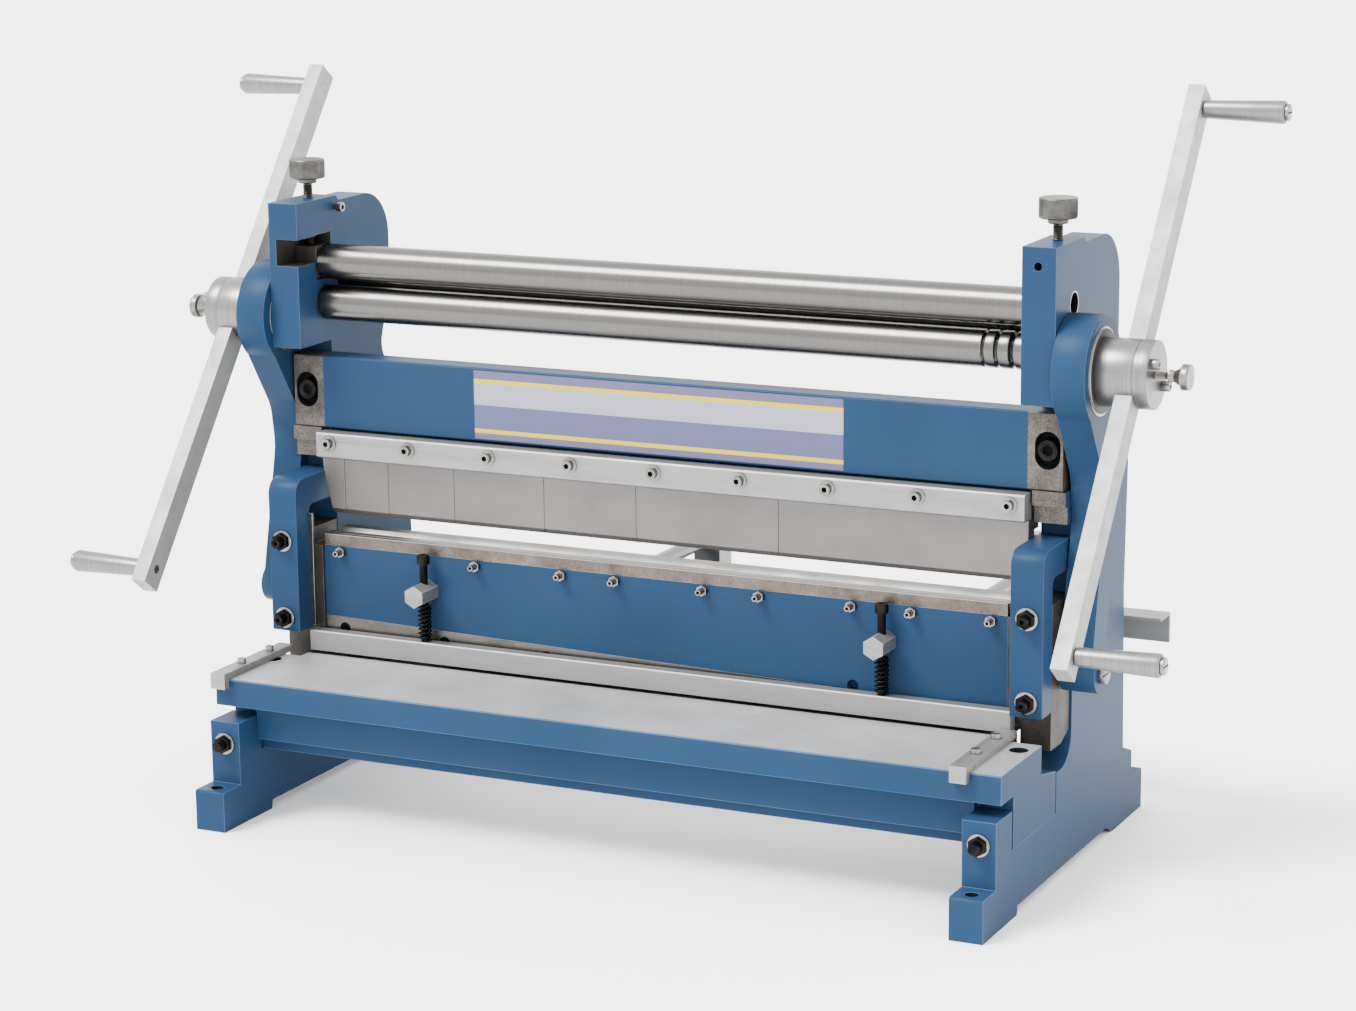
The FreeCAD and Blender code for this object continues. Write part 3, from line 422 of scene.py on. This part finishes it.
def lathe(mesh, profile, base, axis, steps=64):
    along = Vector(axis)
    side = along.orthogonal().normalized()
    verts = [mesh.verts.new(Vector(base) + along * reach + side * radius)
             for reach, radius in profile]
    edges = [mesh.edges.new(pair) for pair in zip(verts, verts[1:])]
    bmesh.ops.spin(mesh, geom=verts + edges, cent=base, axis=along, angle=math.tau, steps=steps,
                   use_merge=True)
    bmesh.ops.remove_doubles(mesh, verts=mesh.verts, dist=1e-6)
    bmesh.ops.recalc_face_normals(mesh, faces=mesh.faces)


def threaded(start, end, radius, pitch=0.0015, depth=0.0006):
    turns = int((end - start) / pitch)
    points = []
    for turn in range(turns):
        points += [(start + turn * pitch, radius), (start + (turn + 0.5) * pitch, radius - depth)]
    return points + [(end, radius)]


def knurledRows(start, end, radius, rows):
    step = (end - start) / rows
    return [(start + step * row, radius) for row in range(rows + 1)]


# Springs: a round wire wound round each hold-down screw.
spring = {"wire": 0.0011, "turns": 8.0, "around": 8, "steps": 24}
mesh = bmesh.new()
low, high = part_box("hold_down_springs")
radius = (high[1] - low[1]) / 2 - spring["wire"]
for middleX in (low[0] + radius + spring["wire"], high[0] - radius - spring["wire"]):
    middleY = (low[1] + high[1]) / 2
    bottom, top = low[2] + spring["wire"], high[2] - spring["wire"]
    rings = []
    total = int(spring["turns"] * spring["steps"])
    for step in range(total + 1):
        turn = math.tau * step / spring["steps"]
        out = Vector((math.cos(turn), math.sin(turn), 0))
        middle = Vector((middleX, middleY, bottom + (top - bottom) * step / total)) + out * radius
        ring = []
        for side in range(spring["around"]):
            tilt = math.tau * side / spring["around"]
            lean = out * math.cos(tilt) + Vector((0, 0, 1)) * math.sin(tilt)
            ring.append(mesh.verts.new(middle + lean * spring["wire"]))
        rings.append(ring)
    for first, second in zip(rings, rings[1:]):
        for side in range(spring["around"]):
            after = (side + 1) % spring["around"]
            mesh.faces.new((first[side], first[after], second[after], second[side]))
    mesh.faces.new(rings[0][::-1])
    mesh.faces.new(rings[-1])
bmesh.ops.recalc_face_normals(mesh, faces=mesh.faces)
carry(finishPiece(mesh, "holdDownSprings", bodyOf["hold_down_springs"], ["blackOxide"], 50),
      "hold_down_springs")


# Knurling: every second point of the turned rows is pushed in.
def dent(vert, out, row, angle, screw):
    if abs(out.length - screw["knurled"]) < 1e-5 and 0.5 < row < screw["rows"] - 0.5:
        column = round(angle / math.tau * screw["columns"])
        if (column + round(row)) % 2:
            vert.co -= out.normalized() * screw["dent"]


headScrew = {"low": 0.557, "collar": 0.619, "knob": 0.624, "top": 0.643, "x": 0.3995,
             "thread": 0.005, "knurled": 0.018, "rows": 10, "columns": 96, "dent": 0.0006}
for name, side in (("left_head_screw", -1), ("right_head_screw", 1)):
    mesh = bmesh.new()
    low, collar = headScrew["low"], headScrew["collar"]
    knob, top = headScrew["knob"], headScrew["top"]
    rows = knurledRows(knob + 0.001, top - 0.001, headScrew["knurled"], headScrew["rows"])
    lathe(mesh, [(low, 0), (low, 0.0042)] + threaded(low + 0.001, collar, headScrew["thread"])
          + [(collar, 0.0088), (collar + 0.001, 0.0095), (knob, 0.0095), (knob, 0.0172)]
          + rows + [(top, 0.0172), (top, 0)],
          (side * headScrew["x"], 0, 0), (0, 0, 1), headScrew["columns"])
    step = rows[1][0] - rows[0][0]
    for vert in mesh.verts:
        out = Vector((vert.co.x - side * headScrew["x"], vert.co.y, 0))
        dent(vert, out, (vert.co.z - rows[0][0]) / step, math.atan2(out.y, out.x), headScrew)
    carry(finishPiece(mesh, pieceName(name), bodyOf[name], ["knurledSteel"], 20), name)

thumb = {"y": -0.0125, "z": 0.4875, "stem": 0.486, "cone": 0.512, "head": 0.5245, "end": 0.532,
         "thread": 0.004, "pitch": 0.00125, "depth": 0.0005,
         "knurled": 0.012, "rows": 6, "columns": 72, "dent": 0.0006}
mesh = bmesh.new()
for side in (-1, 1):
    part = bmesh.new()
    stem, cone, head, end = thumb["stem"], thumb["cone"], thumb["head"], thumb["end"]
    rows = knurledRows(head, end - 0.001, thumb["knurled"], thumb["rows"])
    lathe(part, [(stem, 0)] + threaded(stem, cone, thumb["thread"], thumb["pitch"], thumb["depth"])
          + [(cone, 0.0062), (cone + 0.002, 0.0062), (cone + 0.005, 0.0052),
             (head - 0.001, 0.0092)]
          + rows + [(end, 0.0112), (end, 0)],
          (0, thumb["y"], thumb["z"]), (side, 0, 0), thumb["columns"])
    step = rows[1][0] - rows[0][0]
    for vert in part.verts:
        out = Vector((0, vert.co.y - thumb["y"], vert.co.z - thumb["z"]))
        dent(vert, out, (abs(vert.co.x) - rows[0][0]) / step, math.atan2(out.z, out.y), thumb)
    data = bpy.data.meshes.new("part")
    part.to_mesh(data)
    part.free()
    mesh.from_mesh(data)
    bpy.data.meshes.remove(data)
carry(finishPiece(mesh, "thumbScrews", bodyOf["thumb_screws"], ["platedScrew"], 20), "thumb_screws")

grip = {"root": 0.487, "long": 0.078, "thin": 0.0086, "thick": 0.011}
for name, side in (("left_upper_grip", -1), ("left_lower_grip", -1), ("right_upper_grip", 1),
                   ("right_lower_grip", 1)):
    low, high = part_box(name)
    middle = (0, (low[1] + high[1]) / 2, (low[2] + high[2]) / 2)
    mesh = bmesh.new()
    far = grip["root"] + grip["long"]
    lathe(mesh, [(grip["root"], 0.0046), (grip["root"], grip["thin"] - 0.0008),
                 (grip["root"] + 0.0008, grip["thin"]), (far - 0.003, grip["thick"]),
                 (far - 0.001, grip["thick"] - 0.0006), (far, grip["thick"] - 0.002),
                 (far, 0.0046), (grip["root"], 0.0046)], middle, (side, 0, 0))
    carry(finishPiece(mesh, pieceName(name), bodyOf[name], ["turnedAluminium"]), name)
print("turned pieces made")


def addBox(mesh, low, high, slot=0):
    size = Vector(high) - Vector(low)
    middle = (Vector(high) + Vector(low)) / 2
    made = bmesh.ops.create_cube(mesh, size=1.0,
                                 matrix=Matrix.Translation(middle) @ Matrix.Diagonal((*size, 1)))
    for face in {face for vert in made["verts"] for face in vert.link_faces}:
        face.material_index = slot


label = {"left": -0.204, "right": 0.194, "low": 0.3742, "high": 0.4432, "face": -0.0160,
         "thick": 0.0004, "sunk": 0.0002}
bands = [("lavender", 0.12), ("yellowLine", 0.06), ("paleGrey", 0.32), ("blueGrey", 0.35),
         ("yellowLine", 0.06), ("lavender", 0.09)]
mesh = bmesh.new()
top = label["high"]
labelSlots = ["lavender", "yellowLine", "paleGrey", "blueGrey"]
for finish, share in bands:
    under = top - share * (label["high"] - label["low"])
    addBox(mesh, (label["left"], label["face"] - label["thick"], under),
           (label["right"], label["face"] + label["sunk"], top), labelSlots.index(finish))
    top = under
finishPiece(mesh, "nameLabel", "frame", labelSlots, 0)

marks = {"step": 0.005, "from": -0.170, "count": 20, "top": 0.152, "left": -0.4000,
         "right": 0.3695, "long": 0.006, "short": 0.004, "half": 0.00015, "sunk": 0.0001,
         "proud": 0.00006}
mesh = bmesh.new()
for inner, toward in ((marks["left"], -1), (marks["right"], 1)):
    for number in range(marks["count"]):
        along = marks["from"] + number * marks["step"]
        outer = inner + toward * (marks["long"] if number % 2 == 0 else marks["short"])
        addBox(mesh, (min(inner, outer), along - marks["half"], marks["top"] - marks["sunk"]),
               (max(inner, outer), along + marks["half"], marks["top"] + marks["proud"]))
finishPiece(mesh, "gaugeScales", "frame", ["scaleInk"], 0)


# Pale rims, bright machined metal and a painted highlight: of the bore in the right head and of
# both arm eyes.
def rim(mesh, size, side, steps=64):
    near, far = side * size["near"], side * size["far"]
    lathe(mesh, [(near, size["inner"]), (near, size["outer"]), (far, size["outer"]),
                 (far, size["inner"]), (near, size["inner"])],
          (0, size["y"], size["z"]), (1, 0, 0), steps)


boreRim = {"near": 0.4158, "far": 0.4162, "inner": 0.0110, "outer": 0.0121, "y": 0, "z": 0.5455}
mesh = bmesh.new()
rim(mesh, boreRim, 1)
finishPiece(mesh, "boreRim", "frame", ["machinedEdgeAndHighlight"])

eyeRim = {"near": 0.4486, "far": 0.4494, "inner": 0.0393, "outer": 0.0412, "y": -0.0125,
          "z": 0.4875, "steps": 96}
mesh = bmesh.new()
for side in (1, -1):
    rim(mesh, eyeRim, side, eyeRim["steps"])
finishPiece(mesh, "armEyeRims", "arms", ["machinedEdgeAndHighlight"])

# Slots in the grip bolt ends: thin near-black boxes of painted shade.
gripSlotShade = {"wide": 0.0016, "reach": 0.0072, "deep": 0.0006, "proud": 0.0001}
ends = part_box("grip_bolts")
for name in ("left_upper_grip", "left_lower_grip", "right_upper_grip", "right_lower_grip"):
    low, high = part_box(name)
    side = 1 if low[0] > 0 else -1
    face = ends[1][0] if side > 0 else ends[0][0]
    inner, outer = sorted((face - side * gripSlotShade["deep"], face + side * gripSlotShade["proud"]))
    middle = ((low[1] + high[1]) / 2, (low[2] + high[2]) / 2)
    mesh = bmesh.new()
    addBox(mesh, (inner, middle[0] - gripSlotShade["reach"], middle[1] - gripSlotShade["wide"] / 2),
           (outer, middle[0] + gripSlotShade["reach"], middle[1] + gripSlotShade["wide"] / 2))
    finishPiece(mesh, pieceName(name) + "Slot", "crank_shaft", ["paintedHoleShade"], 0)

capScrew = {"y": 0.023, "z": 0.5927, "face": -0.383}
mesh = bmesh.new()
lathe(mesh, [(0, 0.0028), (0.004, 0.0028), (0.004, 0.0046), (0.0095, 0.0050), (0.010, 0.0046),
             (0.010, 0.0026), (0.0065, 0.0026), (0.0065, 0)],
      (capScrew["face"], capScrew["y"], capScrew["z"]), (1, 0, 0), 32)
finishPiece(mesh, "headCapScrew", "frame", ["platedScrew"])
print("details made")

stage = {"floorSize": 60.0, "floorTone": 0.92, "floorRough": 0.6, "worldTone": 3.5,
         "sunFrom": (-0.42, -0.46, 0.90), "sunPower": 8.5, "sunAngle": 26}


def sunLight(name, direction, power, spread):
    data = bpy.data.lights.new(name, "SUN")
    data.energy = power
    data.angle = math.radians(spread)
    lamp = bpy.data.objects.new(name, data)
    bpy.context.scene.collection.objects.link(lamp)
    lamp.rotation_euler = Vector(direction).to_track_quat("Z", "Y").to_euler()


mesh = bmesh.new()
bmesh.ops.create_grid(mesh, x_segments=1, y_segments=1, size=stage["floorSize"] / 2)
floorData = bpy.data.meshes.new("floor")
mesh.to_mesh(floorData)
mesh.free()
floor = bpy.data.objects.new("floor", floorData)
bpy.context.scene.collection.objects.link(floor)
floorMaterial, tree, shader = newMaterial("paleFloor")
shader.inputs["Base Color"].default_value = (stage["floorTone"],) * 3 + (1,)
shader.inputs["Roughness"].default_value = stage["floorRough"]
floorData.materials.append(floorMaterial)

world = bpy.data.worlds.new("studio")
bpy.context.scene.world = world
world.use_nodes = True
world.node_tree.nodes["Background"].inputs["Color"].default_value = (1, 1, 1, 1)
world.node_tree.nodes["Background"].inputs["Strength"].default_value = stage["worldTone"]

sunLight("keyLight", stage["sunFrom"], stage["sunPower"], stage["sunAngle"])

camera = {"spot": (1.4532, -2.9899, 1.0674), "azimuth": 25.74, "elevation": 12.67,
          "roll": -0.61, "lens": 92.38}
lensData = bpy.data.cameras.new("camera")
lensData.lens = camera["lens"]
lensData.sensor_width = 36
eye = bpy.data.objects.new("camera", lensData)
bpy.context.scene.collection.objects.link(eye)
turn = (Matrix.Rotation(math.radians(camera["azimuth"]), 4, "Z")
        @ Matrix.Rotation(math.radians(90 - camera["elevation"]), 4, "X")
        @ Matrix.Rotation(math.radians(camera["roll"]), 4, "Z"))
eye.matrix_world = Matrix.Translation(camera["spot"]) @ turn
bpy.context.scene.camera = eye
print("stage set")
